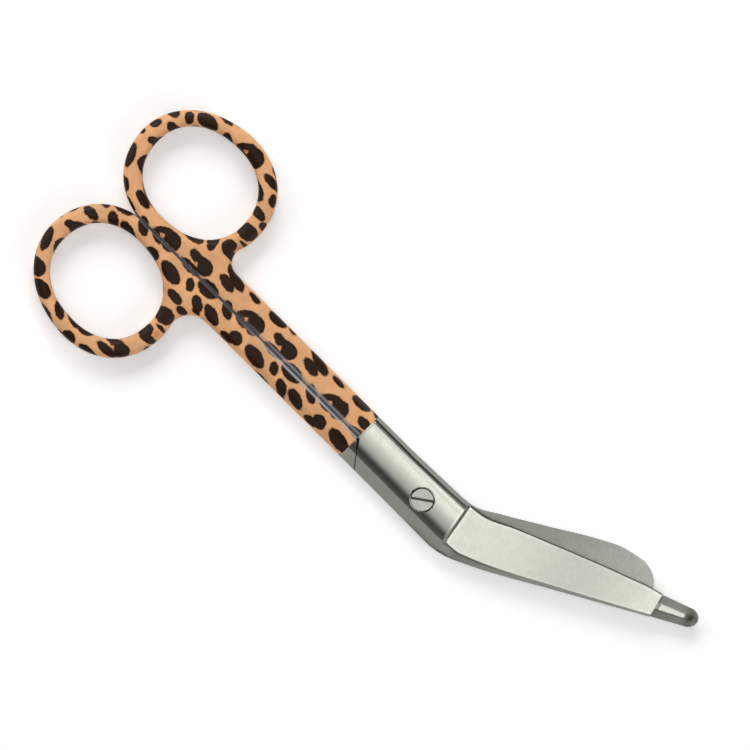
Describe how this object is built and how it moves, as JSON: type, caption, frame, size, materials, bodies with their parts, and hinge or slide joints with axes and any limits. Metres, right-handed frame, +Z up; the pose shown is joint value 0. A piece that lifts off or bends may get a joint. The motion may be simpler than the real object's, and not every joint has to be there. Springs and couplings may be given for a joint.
{
  "type": "bandage scissors",
  "caption": "Angled bandage scissors: a slim blade with a blunt probe tip, a wide rounded blade, a slotted pivot screw and finger rings with a spotted printed coating.",
  "frame": {"origin": "on the pivot screw's axis, in the plane that the closed scissors lie on", "axes": "+X from the finger rings to the probe tip, +Y towards the front half's ring and the blades' outward bend, +Z up out of the surface, along the screw towards its slotted head"},
  "size_m": [0.1363, 0.0504, 0.0052],
  "materials": {
    "front_steel": "satin ground stainless steel",
    "back_steel": "satin ground stainless steel",
    "screw_steel": "ground stainless steel",
    "front_print": "printed coating, tan with dark spots, semi-gloss",
    "back_print": "printed coating, tan with dark spots, semi-gloss"
  },
  "bodies": {
    "back": {"back_half": "back_steel", "back_handle_coating": "back_print", "pivot_screw": "screw_steel"},
    "front": {"front_half": "front_steel", "front_handle_coating": "front_print"}
  },
  "joints": [
    {"name": "pivot", "type": "hinge", "parent": "back", "child": "front", "pos_m": [0, 0, 0], "axis": [0, 0, -1], "range_deg": [0, 80]}
  ]
}
